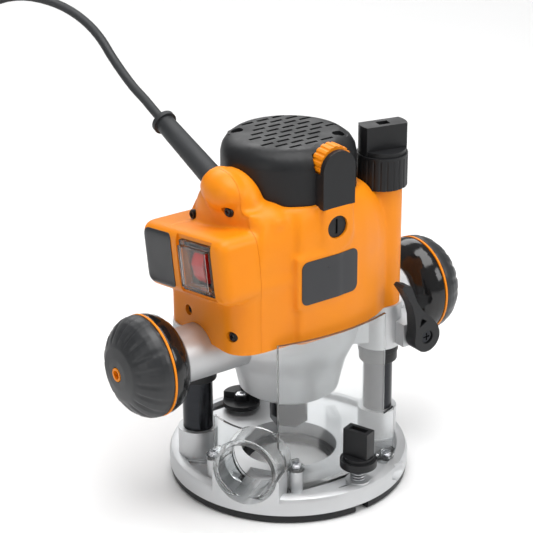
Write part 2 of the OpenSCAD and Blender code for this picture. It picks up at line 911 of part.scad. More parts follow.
// ---- rotor ----

module armature_shaft() {
  color("#a8acae") {
    rod(5, 130, 212);
    rod(7.5, 56, 130);
  }
}

module armature_core() {
  color("#6f7376") difference() {
    rod(21.5, 114, 160);
    rod(7.5, 100, 130);
    rod(5, 129, 170);
    for (a = [0 : 30 : 330]) rotate([0, 0, a]) box([18, -0.8, 110], [23, 0.8, 170]);
  }
}

module commutator() {
  color("#b87333") tube(13, 5, 178, 195);
}

module cooling_fan() {
  color("#dcdcd2") {
    tube(12, 7.5, 92, 104);
    tube(35, 12, 92, 94);
    for (a = [0 : 30 : 330]) rotate([0, 0, a]) box([11.5, -0.8, 93], [34.5, 0.8, 103]);
  }
}

module shaft_bearings() {
  color("#b8bcbe") {
    tube(14.9, 7.5, 78, 88);
    tube(12.9, 5, 198.6, 207);
  }
}

module collet() {
  color("#a8acae") difference() {
    rotate_extrude() polygon([[4, 36], [6.5, 36], [7.4, 40], [7.4, 55.9], [4, 55.9]]);
    for (a = [0, 90]) rotate([0, 0, a + 45]) box([-8, -0.5, 35], [8, 0.5, 50]);
  }
}

module collet_nut() {
  color("#26282a") difference() {
    union() {
      rod(12.5, 40, 57);
      rotate([0, 0, 15]) rod(12.6, 34, 45, $fn = 6);
    }
    rod(7.5, 30, 60);
  }
}

base_casting();
sole_plate();
sole_screws();
column_left();
column_right();
dust_guard();
guard_screws();
fence_knob_front();
fence_knob_rear();
fence_springs();
turret_stop();
turret_screw();
mains_cord();
cord_coil();
plug_body();
plug_pins();
carriage_casting();
column_seals();
motor_housing();
switch_housing();
shell_screws();
top_cap();
cap_screws();
front_badge();
rating_plate();
brush_caps();
brush_holders();
carbon_brushes();
brush_springs();
stator_core();
field_coils();
speed_board();
cord_guard();
cord_clamp();
switch_body();
switch_boot();
switch_rocker();
knob_left_front();
knob_left_ring();
knob_left_back();
knob_right_front();
knob_right_ring();
knob_right_back();
knob_inserts();
knob_bolts();
clamp_bolt();
lock_lever();
lever_screw();
height_knob();
height_screw();
plunge_springs();
depth_rod();
speed_dial();
armature_shaft();
armature_core();
commutator();
cooling_fan();
shaft_bearings();
collet();
collet_nut();
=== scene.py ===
import json
import math

import bpy
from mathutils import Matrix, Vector

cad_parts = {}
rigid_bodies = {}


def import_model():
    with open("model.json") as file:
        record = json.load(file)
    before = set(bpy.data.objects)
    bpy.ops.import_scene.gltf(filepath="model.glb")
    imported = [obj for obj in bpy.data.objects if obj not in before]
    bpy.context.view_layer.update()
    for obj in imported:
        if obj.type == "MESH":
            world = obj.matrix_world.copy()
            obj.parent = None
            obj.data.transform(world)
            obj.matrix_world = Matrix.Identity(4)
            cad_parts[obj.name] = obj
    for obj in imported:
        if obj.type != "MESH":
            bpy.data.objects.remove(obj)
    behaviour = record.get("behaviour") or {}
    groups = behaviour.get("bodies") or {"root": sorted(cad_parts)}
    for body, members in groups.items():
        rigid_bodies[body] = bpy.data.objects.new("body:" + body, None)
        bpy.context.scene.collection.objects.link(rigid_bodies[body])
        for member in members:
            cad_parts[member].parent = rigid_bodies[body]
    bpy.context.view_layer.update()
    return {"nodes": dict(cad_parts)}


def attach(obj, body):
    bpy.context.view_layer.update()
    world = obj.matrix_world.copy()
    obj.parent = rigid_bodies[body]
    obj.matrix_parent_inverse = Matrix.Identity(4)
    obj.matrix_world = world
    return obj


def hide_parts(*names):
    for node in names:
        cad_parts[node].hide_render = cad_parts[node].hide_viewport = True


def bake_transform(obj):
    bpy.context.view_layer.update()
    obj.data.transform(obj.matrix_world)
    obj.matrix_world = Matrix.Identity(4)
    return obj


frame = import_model()
node = frame["nodes"]

# ---------------------------------------------------------------------------
# Camera: stands in front and to the left, a little above, with a long lens,
# as for a catalogue picture of a bench tool.
# ---------------------------------------------------------------------------
AIM = Vector((0.0, 0.0, 0.12))
CAMERA_PLACE = Vector((-0.6406, -0.8844, 0.6187))

camera_data = bpy.data.cameras.new("camera")
camera_data.lens = 124.35
camera_data.sensor_width = 36.0
camera_data.shift_x = -0.0411
camera_data.shift_y = 0.0664
camera_data.clip_start = 0.05
camera = bpy.data.objects.new("camera", camera_data)
bpy.context.scene.collection.objects.link(camera)
camera.location = CAMERA_PLACE
camera.rotation_euler = (AIM - CAMERA_PLACE).to_track_quat("-Z", "Y").to_euler()
bpy.context.scene.camera = camera

# ---------------------------------------------------------------------------
# Mains lead: a 6 mm round rubber-sheathed lead. It rises out of the strain
# relief, falls over to the back left in one arch, and the rest is wound into a
# coil of three layers on the floor that ends in the plug.
# ---------------------------------------------------------------------------
LEAD_DIAMETER = 0.006
LEAD_ROUTE_MM = [
    (-53, 63.1, 237.7), (-53, 72, 241), (-53, 84, 246), (-53, 98, 251), (-53, 112, 258),
    (-53, 124, 265), (-53, 136, 273), (-54, 150, 280), (-59, 164, 287), (-69, 175, 293),
    (-84, 183, 297), (-101, 187, 296), (-117, 188, 288), (-130, 188, 273),
    (-139, 187, 251), (-144, 186, 222), (-146, 185, 188), (-145, 184, 152),
    (-142, 183, 116), (-139, 183, 82), (-136, 183, 54), (-135, 183, 32),
    (-139, 183, 15), (-148, 183, 6), (-160, 183, 3),
]
COIL_CENTRE = Vector((-0.160, 0.231, 0.0))
LEAD_LAST_TURN = 7.25
TURN_POINTS = 20
RUN_IN_MM = ((-32.0, 9.0, 17.0), (-27.6, 16.8, 20.5), (-20.6, 22.2, 24.6), (-12.0, 24.0, 26.5))


def deselect_all():
    """Nothing is selected and no piece is active."""
    bpy.context.view_layer.objects.active = None
    for thing in bpy.context.view_layer.objects:
        thing.select_set(False)


def only(thing):
    """thing alone is selected and active."""
    deselect_all()
    thing.select_set(True)
    bpy.context.view_layer.objects.active = thing
    return thing


def coil_spot(turn):
    """Middle of the lead after that many turns of the coil, which has three layers."""
    if turn < 3.0:
        radius, height = 0.048 - 0.006 * turn, 0.003
    elif turn < 3.4:
        radius, height = 0.030, 0.003 + 0.006 * (turn - 3.0) / 0.4
    elif turn < 5.4:
        radius, height = 0.030 + 0.006 * (turn - 3.4), 0.009
    elif turn < 5.8:
        radius, height = 0.042, 0.009 + 0.006 * (turn - 5.4) / 0.4
    else:
        radius, height = 0.042 - 0.006 * (turn - 5.8), 0.015
    angle = math.radians(-90.0 - 360.0 * turn)
    return COIL_CENTRE + Vector((radius * math.cos(angle), radius * math.sin(angle), height))


def smooth_line(points, steps):
    """More points on the same smooth curve through points."""
    line = []
    for i in range(len(points) - 1):
        a, b = points[max(i - 1, 0)], points[i]
        c, d = points[i + 1], points[min(i + 2, len(points) - 1)]
        for k in range(steps):
            t = k / steps
            line.append(0.5 * (2 * b + (c - a) * t + (2 * a - 5 * b + 4 * c - d) * t * t
                               + (3 * b - a - 3 * c + d) * t * t * t))
    return line + [points[-1]]


def lead_line(last_turn):
    """Points of the whole lead when the coil has last_turn turns."""
    bends = [Vector(p) / 1000 for p in LEAD_ROUTE_MM]
    count = int(last_turn * TURN_POINTS)
    turns = [coil_spot(last_turn * k / count) for k in range(1, count + 1)]
    run_in = [COIL_CENTRE + Vector(p) / 1000 for p in RUN_IN_MM]
    return smooth_line(bends + turns + run_in, 3)


def new_finish(name, colour, rough, metal=0.0):
    """A material with its plain colour, roughness and metal on the shader."""
    finish = bpy.data.materials.new(name)
    finish.use_nodes = True
    shader = finish.node_tree.nodes["Principled BSDF"]
    shader.inputs["Base Color"].default_value = (*colour, 1.0)
    shader.inputs["Roughness"].default_value = rough
    shader.inputs["Metallic"].default_value = metal
    return finish


def shader_of(finish):
    return finish.node_tree.nodes["Principled BSDF"]


def noise_in(finish, scale, detail=4.0, stretch=(1.0, 1.0, 1.0)):
    """A noise pattern on Object coordinates; stretch below 1 draws it out along that axis."""
    nodes, links = finish.node_tree.nodes, finish.node_tree.links
    place = nodes.new("ShaderNodeTexCoord")
    mapping = nodes.new("ShaderNodeMapping")
    mapping.inputs["Scale"].default_value = stretch
    noise = nodes.new("ShaderNodeTexNoise")
    noise.inputs["Scale"].default_value = scale
    noise.inputs["Detail"].default_value = detail
    links.new(place.outputs["Object"], mapping.inputs["Vector"])
    links.new(mapping.outputs["Vector"], noise.inputs["Vector"])
    return noise.outputs["Fac"]


def spread(finish, value, low, high, out_low, out_high):
    """value from low..high to out_low..out_high, kept inside."""
    remap = finish.node_tree.nodes.new("ShaderNodeMapRange")
    remap.inputs["From Min"].default_value = low
    remap.inputs["From Max"].default_value = high
    remap.inputs["To Min"].default_value = out_low
    remap.inputs["To Max"].default_value = out_high
    finish.node_tree.links.new(value, remap.inputs["Value"])
    return remap.outputs["Result"]


def mottle(finish, value, dark, light):
    """The colour runs from dark to light with value."""
    mix = finish.node_tree.nodes.new("ShaderNodeMix")
    mix.data_type = "RGBA"
    mix.inputs[6].default_value = (*dark, 1.0)
    mix.inputs[7].default_value = (*light, 1.0)
    finish.node_tree.links.new(value, mix.inputs[0])
    finish.node_tree.links.new(mix.outputs[2], shader_of(finish).inputs["Base Color"])


def uneven_gloss(finish, value, low, high):
    """The roughness runs from low to high with value."""
    remapped = spread(finish, value, 0.3, 0.7, low, high)
    finish.node_tree.links.new(remapped, shader_of(finish).inputs["Roughness"])


def relief(finish, value, height, strength=1.0):
    """A bump of that height in metres; a second call lies under the first."""
    nodes, links = finish.node_tree.nodes, finish.node_tree.links
    bump = nodes.new("ShaderNodeBump")
    bump.inputs["Strength"].default_value = strength
    bump.inputs["Distance"].default_value = height
    links.new(value, bump.inputs["Height"])
    normal = shader_of(finish).inputs["Normal"]
    if normal.is_linked:
        links.new(normal.links[0].from_socket, bump.inputs["Normal"])
    links.new(bump.outputs["Normal"], normal)


def dress(thing, finish):
    """thing wears that finish alone."""
    thing.data.materials.clear()
    thing.data.materials.append(finish)


def dress_node(name, finish):
    """A carried-over part keeps its mesh and wears finish on every slot."""
    for material_slot in node[name].material_slots:
        material_slot.link = "OBJECT"
        material_slot.material = finish


def soften(name, width, angle=32.0, segments=2):
    """The sharp edges of a carried-over part are broken by width, in metres."""
    join = node[name].modifiers.new("join", "WELD")
    join.merge_threshold = 0.00002
    edge = node[name].modifiers.new("edge", "BEVEL")
    edge.width = width
    edge.segments = segments
    edge.limit_method = "ANGLE"
    edge.angle_limit = math.radians(angle)
    edge.use_clamp_overlap = True
    even = node[name].modifiers.new("even", "WEIGHTED_NORMAL")
    even.keep_sharp = False
    even.weight = 60


sheath_rubber = new_finish("lead sheath", (0.035, 0.037, 0.04), 0.55)
sheath_cloud = noise_in(sheath_rubber, 60.0)
mottle(sheath_rubber, sheath_cloud, (0.018, 0.0195, 0.021), (0.032, 0.034, 0.037))
uneven_gloss(sheath_rubber, sheath_cloud, 0.48, 0.66)
relief(sheath_rubber, noise_in(sheath_rubber, 2600.0, 2.0), 0.00006, 0.5)

lead_points = lead_line(LEAD_LAST_TURN)
deselect_all()
lead_curve = bpy.data.curves.new("mains_lead", "CURVE")
lead_curve.dimensions = "3D"
lead_curve.bevel_depth = LEAD_DIAMETER / 2
lead_curve.bevel_resolution = 3
lead_curve.use_fill_caps = True
lead_spline = lead_curve.splines.new("POLY")
lead_spline.points.add(len(lead_points) - 1)
for spot, point in zip(lead_spline.points, lead_points):
    spot.co = (*point, 1.0)
lead = bpy.data.objects.new("mains_lead", lead_curve)
bpy.context.scene.collection.objects.link(lead)
only(lead)
bpy.ops.object.convert(target="MESH")
lead = bpy.context.view_layer.objects.active
bpy.ops.object.shade_smooth()
dress(lead, sheath_rubber)
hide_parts("mains_cord", "cord_coil")
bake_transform(lead)
dress_node("plug_body", sheath_rubber)
soften("plug_body", 0.0012, segments=3)

# ---------------------------------------------------------------------------
# Floor and light: a plain white floor under four large soft lamps, above, in
# front, at the left and far behind, in an evenly lit room.
# ---------------------------------------------------------------------------
deselect_all()
bpy.ops.mesh.primitive_plane_add(size=12.0, location=(0.0, 0.0, 0.0))
floor = bpy.context.view_layer.objects.active
floor.name = "floor"
floor_paint = new_finish("floor paint", (0.9, 0.9, 0.9), 0.6)
mottle(floor_paint, noise_in(floor_paint, 3.0), (0.89, 0.89, 0.89), (0.91, 0.91, 0.91))
dress(floor, floor_paint)

room = bpy.data.worlds.new("room")
room.use_nodes = True
room.node_tree.nodes["Background"].inputs["Color"].default_value = (1.0, 1.0, 1.0, 1.0)
room.node_tree.nodes["Background"].inputs["Strength"].default_value = 0.3
bpy.context.scene.world = room
bpy.context.scene.view_settings.view_transform = "Standard"


def soft_lamp(name, place, aim, size, watts):
    """A rectangular lamp at place, turned towards aim."""
    lamp_data = bpy.data.lights.new(name, "AREA")
    lamp_data.shape = "RECTANGLE"
    lamp_data.size, lamp_data.size_y = size
    lamp_data.energy = watts
    lamp = bpy.data.objects.new(name, lamp_data)
    bpy.context.scene.collection.objects.link(lamp)
    lamp.location = place
    lamp.rotation_euler = (Vector(aim) - Vector(place)).to_track_quat("-Z", "Y").to_euler()


soft_lamp("lamp_top", (0.0, -0.2, 1.5), (0.0, 0.0, 0.1), (1.2, 1.2), 22.0)
soft_lamp("lamp_key", (0.75, -1.5, 1.1), (0.0, 0.0, 0.12), (0.8, 0.8), 10.0)
soft_lamp("lamp_left", (-1.6, -0.4, 0.7), (0.0, 0.0, 0.12), (0.4, 1.0), 3.0)
soft_lamp("lamp_back", (0.9, 2.2, 1.7), (0.5, 1.1, 0.0), (2.2, 1.4), 30.0)

# ---------------------------------------------------------------------------
# Base: an aluminium die casting with a machined rim, on a thick black plastic
# sole held from below by four countersunk screws.
# ---------------------------------------------------------------------------
cast_metal = new_finish("cast aluminium", (0.62, 0.63, 0.64), 0.5, 0.75)
cast_cloud = noise_in(cast_metal, 45.0, 6.0)
mottle(cast_metal, cast_cloud, (0.57, 0.58, 0.59), (0.67, 0.68, 0.69))
uneven_gloss(cast_metal, cast_cloud, 0.44, 0.58)
relief(cast_metal, noise_in(cast_metal, 1400.0, 3.0), 0.00010, 0.5)
relief(cast_metal, noise_in(cast_metal, 120.0, 3.0), 0.00020, 0.25)

sole_plastic = new_finish("moulded black plastic", (0.012, 0.0125, 0.0135), 0.42)
shader_of(sole_plastic).inputs["Specular IOR Level"].default_value = 0.3
sole_cloud = noise_in(sole_plastic, 70.0, 5.0)
mottle(sole_plastic, sole_cloud, (0.009, 0.0095, 0.0105), (0.017, 0.0175, 0.019))
uneven_gloss(sole_plastic, sole_cloud, 0.36, 0.52)
relief(sole_plastic, noise_in(sole_plastic, 2200.0, 2.0), 0.00005, 0.45)

zinc_steel = new_finish("zinc-plated steel", (0.72, 0.73, 0.75), 0.28, 1.0)
zinc_cloud = noise_in(zinc_steel, 160.0, 4.0)
mottle(zinc_steel, zinc_cloud, (0.60, 0.61, 0.64), (0.80, 0.81, 0.83))
uneven_gloss(zinc_steel, zinc_cloud, 0.22, 0.38)

black_steel = new_finish("blackened steel", (0.045, 0.047, 0.05), 0.22, 1.0)
turning = noise_in(black_steel, 900.0, 2.0, stretch=(0.06, 0.06, 1.0))
mottle(black_steel, turning, (0.026, 0.027, 0.030), (0.036, 0.038, 0.042))
uneven_gloss(black_steel, turning, 0.15, 0.21)

dress_node("base_casting", cast_metal)
soften("base_casting", 0.0009, segments=3)
dress_node("sole_plate", sole_plastic)
soften("sole_plate", 0.0006)
for name in ("sole_screws", "guard_screws", "turret_screw", "plug_pins", "cap_screws",
             "knob_bolts", "clamp_bolt", "height_screw"):
    dress_node(name, zinc_steel)
    soften(name, 0.00015)
for name in ("column_left", "column_right"):
    dress_node(name, black_steel)
    soften(name, 0.0004)

# ---------------------------------------------------------------------------
# Springs: coiled steel wire. One stands in each column, one under each fence
# knob and one behind each brush.
# ---------------------------------------------------------------------------
spring_wire = new_finish("spring wire", (0.5, 0.51, 0.53), 0.3, 1.0)
mottle(spring_wire, noise_in(spring_wire, 300.0), (0.42, 0.43, 0.45), (0.6, 0.61, 0.63))
for name in ("plunge_springs", "fence_springs", "brush_springs"):
    dress_node(name, spring_wire)

# ---------------------------------------------------------------------------
# Chip guard: one clear polycarbonate moulding on the front of the base, with
# the hose port on its left, held to two posts by screws.
# ---------------------------------------------------------------------------
clear_plastic = new_finish("clear polycarbonate", (0.93, 0.95, 0.955), 0.05)
shader_of(clear_plastic).inputs["Transmission Weight"].default_value = 0.97
shader_of(clear_plastic).inputs["IOR"].default_value = 1.45
shader_of(clear_plastic).inputs["Coat Weight"].default_value = 0.6
uneven_gloss(clear_plastic, noise_in(clear_plastic, 90.0), 0.03, 0.10)
relief(clear_plastic, noise_in(clear_plastic, 40.0, 2.0), 0.0006, 0.12)
dress_node("dust_guard", clear_plastic)
soften("dust_guard", 0.0005)

# ---------------------------------------------------------------------------
# Fence knobs and turret: black nylon mouldings. The wing knobs clamp the fence
# rods in the base, and the turret's steps stop the depth rod.
# ---------------------------------------------------------------------------
for name in ("fence_knob_front", "fence_knob_rear", "turret_stop"):
    dress_node(name, sole_plastic)
    soften(name, 0.0012, segments=3)

# ---------------------------------------------------------------------------
# Carriage: an aluminium casting of nose, sleeves and arms that slides on the
# columns, with a dust seal under each sleeve.
# ---------------------------------------------------------------------------
dress_node("carriage_casting", cast_metal)
soften("carriage_casting", 0.0010, segments=3)
dress_node("column_seals", sole_plastic)
soften("column_seals", 0.0006)

# ---------------------------------------------------------------------------
# Shells: two orange glass-filled nylon mouldings, parted at x = -53 mm. The
# large one goes round the motor and the right column; the small one carries the
# switch and half of the boss that the lead leaves by. Both come from one skin.
# ---------------------------------------------------------------------------
SHELL_FOOT = 115.5
SHELL_TOP = 202.0
PARTING = -53.0
RINGS = 30
SHARP_EDGE = math.radians(34)
ARM_HEIGHT = 105.5
RIGHT_COLUMN = (57.115, -23.076)
LEFT_COLUMN = (-57.115, 23.076)
BLOCK_MIDDLE = (0.0, -1.0, 166.5)
BLOCK_TILT = math.radians(-9.5)
LEAD_EXIT = Vector((-53.0, 5.6, 216.0))
LEAD_RISE = math.radians(20.6)
LEAD_AXIS = Vector((0.0, math.cos(LEAD_RISE), math.sin(LEAD_RISE)))
SHELL_SCREWS = ((-66, 10.5, 129.5), (-66, -35, 127.5), (-56, 23, 187.5), (-56, -17, 202))


def settle(thing):
    """Its place, turn and size go into its mesh."""
    only(thing)
    bpy.ops.object.transform_apply(location=True, rotation=True, scale=True)
    return thing


def box_of(low, high, turn=(0.0, 0.0, 0.0), about=(0.0, 0.0, 0.0)):
    """A block between two corners in millimetres, turned about a point."""
    deselect_all()
    bpy.ops.mesh.primitive_cube_add(size=1.0)
    block = bpy.context.view_layer.objects.active
    for vertex in block.data.vertices:
        vertex.co = [(high[i] if vertex.co[i] > 0 else low[i]) / 1000 for i in range(3)]
    block.rotation_euler = turn
    block.location = Vector(about) / 1000
    return settle(block)


def rod_of(radius, start, end, sides=64, end_radius=None):
    """A round bar between two points in millimetres."""
    a, b = Vector(start) / 1000, Vector(end) / 1000
    deselect_all()
    bpy.ops.mesh.primitive_cone_add(vertices=sides, radius1=radius / 1000,
                                    radius2=(radius if end_radius is None else end_radius) / 1000,
                                    depth=(b - a).length, location=(a + b) / 2,
                                    rotation=(b - a).to_track_quat("Z", "Y").to_euler())
    return settle(bpy.context.view_layer.objects.active)


def ball_of(centre, radii):
    """An ellipsoid, in millimetres."""
    deselect_all()
    bpy.ops.mesh.primitive_uv_sphere_add(segments=48, ring_count=32, radius=1.0)
    ball = bpy.context.view_layer.objects.active
    ball.scale = Vector(radii) / 1000
    ball.location = Vector(centre) / 1000
    return settle(ball)


def joined(name, parts):
    """Parts made one object, each still a closed skin of its own."""
    only(parts[0])
    for part in parts:
        part.select_set(True)
    if len(parts) > 1:
        bpy.ops.object.join()
    piece = bpy.context.view_layer.objects.active
    piece.name = name
    return piece


def apply_all(piece):
    """Every modifier goes into the mesh, in order."""
    only(piece)
    for modifier in list(piece.modifiers):
        bpy.ops.object.modifier_apply(modifier=modifier.name)
    return piece


def moulded(name, parts, voxel, rounds):
    """Parts flow into one skin, and every corner takes a fillet."""
    piece = joined(name, parts)
    skin = piece.modifiers.new("skin", "REMESH")
    skin.mode = "VOXEL"
    skin.voxel_size = voxel
    fillet = piece.modifiers.new("fillet", "SMOOTH")
    fillet.factor = 0.5
    fillet.iterations = rounds
    return apply_all(piece)


def carve(piece, cutters):
    """Cutters are taken out of piece, one after another."""
    for tool in cutters:
        cut = piece.modifiers.new("cut", "BOOLEAN")
        cut.operation = "DIFFERENCE"
        cut.solver = "MANIFOLD"
        cut.object = tool
        apply_all(piece)
        bpy.data.objects.remove(tool)
    return piece


def reach(outline, angle):
    """How far a ray from the middle goes before it leaves outline."""
    far = 0.0
    dx, dy = math.cos(angle), math.sin(angle)
    for (ax, ay), (bx, by) in zip(outline, outline[1:] + outline[:1]):
        ex, ey = bx - ax, by - ay
        det = ex * dy - ey * dx
        if abs(det) > 1e-9:
            along = (ex * ay - ey * ax) / det
            share = (dx * ay - dy * ax) / det
            if along > 0 and -1e-6 <= share <= 1 + 1e-6:
                far = max(far, along)
    return far


def body_skin():
    """The motor body: its plan narrows to the cap over one convex shoulder."""
    wide = [[(-53.5, -45), (-20, -45), (-20, 45), (-53.5, 45)],
            [(-27, -49), (8, -49.4), (16, -48.6), (28, -46.2), (40, -42), (50, -36.5), (58, -29),
             (58, -12), (40, 10), (-27, 20)]]
    narrow = [[(-53.5, -33), (0, -33), (0, 18), (-53.5, 18)]]
    deselect_all()
    bpy.ops.mesh.primitive_uv_sphere_add(segments=180, ring_count=RINGS, radius=1.0)
    body = bpy.context.view_layer.objects.active
    for vertex in body.data.vertices:
        ring = round(math.acos(max(-1.0, min(1.0, vertex.co.z))) / math.pi * RINGS)
        angle = math.atan2(vertex.co.y, vertex.co.x)
        if ring <= 2:
            share, z = ring / 3, SHELL_TOP + 1.5
        elif ring >= RINGS - 2:
            share, z = (RINGS - ring) / 3, SHELL_FOOT - 5
        else:
            drop = ((ring - 3) / (RINGS - 6)) ** 1.5
            share, z = 1.0, SHELL_TOP + 1.5 - (SHELL_TOP - SHELL_FOOT + 6.5) * drop
        rear_left = math.sin(math.pi * max(0.0, min(1.0, (math.degrees(angle) - 100.0) / 80.0)))
        foot_z = 164.0 - 24.0 * rear_left
        shoulder = max(0.0, min(1.0, (z - foot_z) / (204.0 - foot_z)))
        keep = math.sqrt(1.0 - shoulder ** 2)
        wide_r = max([46.0] + [reach(outline, angle) for outline in wide])
        narrow_r = max([43.6] + [reach(outline, angle) for outline in narrow])
        radius = share * (narrow_r + (wide_r - narrow_r) * keep)
        vertex.co = (radius * math.cos(angle) / 1000, radius * math.sin(angle) / 1000, z / 1000)
    return body


def rounded_block():
    """The switch block, with its long edges broken by a wide radius."""
    block = box_of((-80, -43, -21.5), (-30, 51, 21.5))
    only(block)
    bpy.ops.object.mode_set(mode="EDIT")
    bpy.ops.mesh.select_mode(type="EDGE")
    bpy.ops.mesh.select_all(action="DESELECT")
    bpy.ops.object.mode_set(mode="OBJECT")
    for edge in block.data.edges:
        a, b = (block.data.vertices[i].co for i in edge.vertices)
        edge.select = abs(a.x - b.x) > 0.01 or (a.x < -0.06 and b.x < -0.06)
    bpy.ops.object.mode_set(mode="EDIT")
    bpy.ops.mesh.bevel(offset=0.0075, segments=8, affect="EDGES")
    bpy.ops.object.mode_set(mode="OBJECT")
    block.rotation_euler = (BLOCK_TILT, 0.0, 0.0)
    block.location = Vector(BLOCK_MIDDLE) / 1000
    return settle(block)


def on_lead(distance):
    """A point on the line that the lead leaves by, distance outside the boss."""
    return tuple(LEAD_EXIT + LEAD_AXIS * distance)


shell = moulded("shell", [
    body_skin(),
    rounded_block(),
    box_of((-70.5, -28, 110), (-40, 25, 160)),
    box_of((-58, -44, 110), (-40, 37, 160)),
    rod_of(16, (-54.5, -28, 110), (-54.5, -28, 160)),
    rod_of(12, (-58.5, 25, 110), (-58.5, 25, 160)),
    rod_of(13.5, (*RIGHT_COLUMN, 110), (*RIGHT_COLUMN, 199)),
    box_of((-9.85, -50.4, 184.6), (14.65, -40, 204)),
    rod_of(12.25, (2.4, -50.4, 184.6), (2.4, -40, 184.6)),
    box_of((-29, -50.2, 139.5), (4, -40, 174.5)),
    rod_of(10.8, on_lead(-16), on_lead(0.0)),
    ball_of(on_lead(-12), (12.5, 18, 13)),
    ball_of((-44, 4, 189), (16.5, 27, 26)),
    ball_of((-44, -5, 199), (15.5, 24, 25)),
    ball_of((-36, -24, 195), (16, 18, 12)),
], 0.0011, 26)

BLOCK = dict(turn=(BLOCK_TILT, 0.0, 0.0), about=BLOCK_MIDDLE)
shell_cutters = [
    box_of((-120, -90, 60), (120, 90, SHELL_FOOT)),
    rod_of(41, (0, 0, 100), (0, 0, 196), 96),
    rod_of(36, (0, 0, 198.5), (0, 0, 240), 96),
    rod_of(43.3, (0, 0, SHELL_TOP), (0, 0, 260), 96),
    rod_of(13, (0, 0, 190), (0, 0, 240)),
    rod_of(10.6, (*RIGHT_COLUMN, 100), (*RIGHT_COLUMN, 193)),
    rod_of(4.2, (*RIGHT_COLUMN, 190), (*RIGHT_COLUMN, 210)),
    rod_of(17.5, (*RIGHT_COLUMN, 197), (*RIGHT_COLUMN, 240)),
    rod_of(11, (*LEFT_COLUMN, 100), (*LEFT_COLUMN, 181)),
    rod_of(18.1, (-100, 0, ARM_HEIGHT), (100, 0, ARM_HEIGHT), 96),
    rod_of(7.5, (1.2, -70, 189), (1.2, -30, 189), 48),
    rod_of(7.5, (1.2, 30, 189), (1.2, 70, 189), 48),
    rod_of(7.4, on_lead(-15), on_lead(40), 48),
    rod_of(9.2, on_lead(-22.2), on_lead(-13.8), 48),
    box_of((-49, -38, 118), (-36, 38, 176)),
    box_of((-79, -31, -16.5), (-60, 5, 16.5), **BLOCK),
    box_of((-90, -31.6, -18.6), (-77.6, 7.6, 19.0), **BLOCK),
    box_of((-60, -38, -16), (-51, 38, 16), **BLOCK),
] + [rod_of(3.6, (-100, y, z), (x + 0.4, y, z), 32) for x, y, z in SHELL_SCREWS] \
  + [rod_of(1.7, (x - 1, y, z), (x + 16, y, z), 16) for x, y, z in SHELL_SCREWS]


def sheet_on(skin, name, low, high, lift, turn=(0.0, 0.0, 0.0), about=(0.0, 0.0, 0.0)):
    """A thin sheet that follows the skin, inside a block with rounded edges."""
    only(skin)
    bpy.ops.object.duplicate()
    sheet = bpy.context.view_layer.objects.active
    sheet.name = name
    raised = sheet.modifiers.new("raised", "DISPLACE")
    raised.strength = lift
    raised.mid_level = 0.0
    outline = box_of(low, high)
    only(outline)
    bpy.ops.object.mode_set(mode="EDIT")
    bpy.ops.mesh.select_all(action="SELECT")
    bpy.ops.mesh.bevel(offset=0.0045, segments=6, affect="EDGES")
    bpy.ops.object.mode_set(mode="OBJECT")
    outline.rotation_euler = turn
    outline.location = Vector(about) / 1000
    settle(outline)
    cut = sheet.modifiers.new("cut", "BOOLEAN")
    cut.operation = "INTERSECT"
    cut.solver = "MANIFOLD"
    cut.object = outline
    apply_all(sheet)
    bpy.data.objects.remove(outline)
    inside = sheet.modifiers.new("inside", "BOOLEAN")
    inside.operation = "DIFFERENCE"
    inside.solver = "MANIFOLD"
    inside.object = skin
    return apply_all(sheet)


plate = sheet_on(shell, "plate", (-92, 13.5, -17.5), (-64, 45.5, 18), 0.0004, **BLOCK)
badge = sheet_on(shell, "badge", (-26, -60, 142), (18.5, -40, 171), 0.0004)
carve(shell, shell_cutters)


def part_of(whole, name, cutter):
    """A copy of whole with cutter taken away."""
    only(whole)
    bpy.ops.object.duplicate()
    piece = bpy.context.view_layer.objects.active
    piece.name = name
    return carve(piece, [cutter])


motor_shell = part_of(shell, "motor_shell", box_of((-120, -90, 60), (PARTING - 0.02, 90, 260)))
switch_shell = part_of(shell, "switch_shell", box_of((PARTING - 0.22, -90, 60), (120, 90, 260)))
bpy.data.objects.remove(shell)

orange_nylon = new_finish("orange nylon", (0.88, 0.26, 0.004), 0.45)
shader_of(orange_nylon).inputs["Specular IOR Level"].default_value = 0.28
nylon_cloud = noise_in(orange_nylon, 35.0, 5.0)
mottle(orange_nylon, nylon_cloud, (0.84, 0.235, 0.003), (0.91, 0.285, 0.006))
uneven_gloss(orange_nylon, nylon_cloud, 0.36, 0.50)
relief(orange_nylon, noise_in(orange_nylon, 2400.0, 2.0), 0.00005, 0.4)
for piece, name in ((motor_shell, "motor_housing"), (switch_shell, "switch_housing")):
    only(piece)
    bpy.ops.object.shade_smooth_by_angle(angle=SHARP_EDGE)
    dress(piece, orange_nylon)
    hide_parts(name)
    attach(piece, "carriage")
dress_node("shell_screws", sole_plastic)

# ---------------------------------------------------------------------------
# Top cap and speed dial: a vented black cap over the fan, held by two screws,
# and the orange wheel that stands in its front.
# ---------------------------------------------------------------------------
dress_node("top_cap", sole_plastic)
soften("top_cap", 0.0006)
dress_node("speed_dial", orange_nylon)
soften("speed_dial", 0.0003)

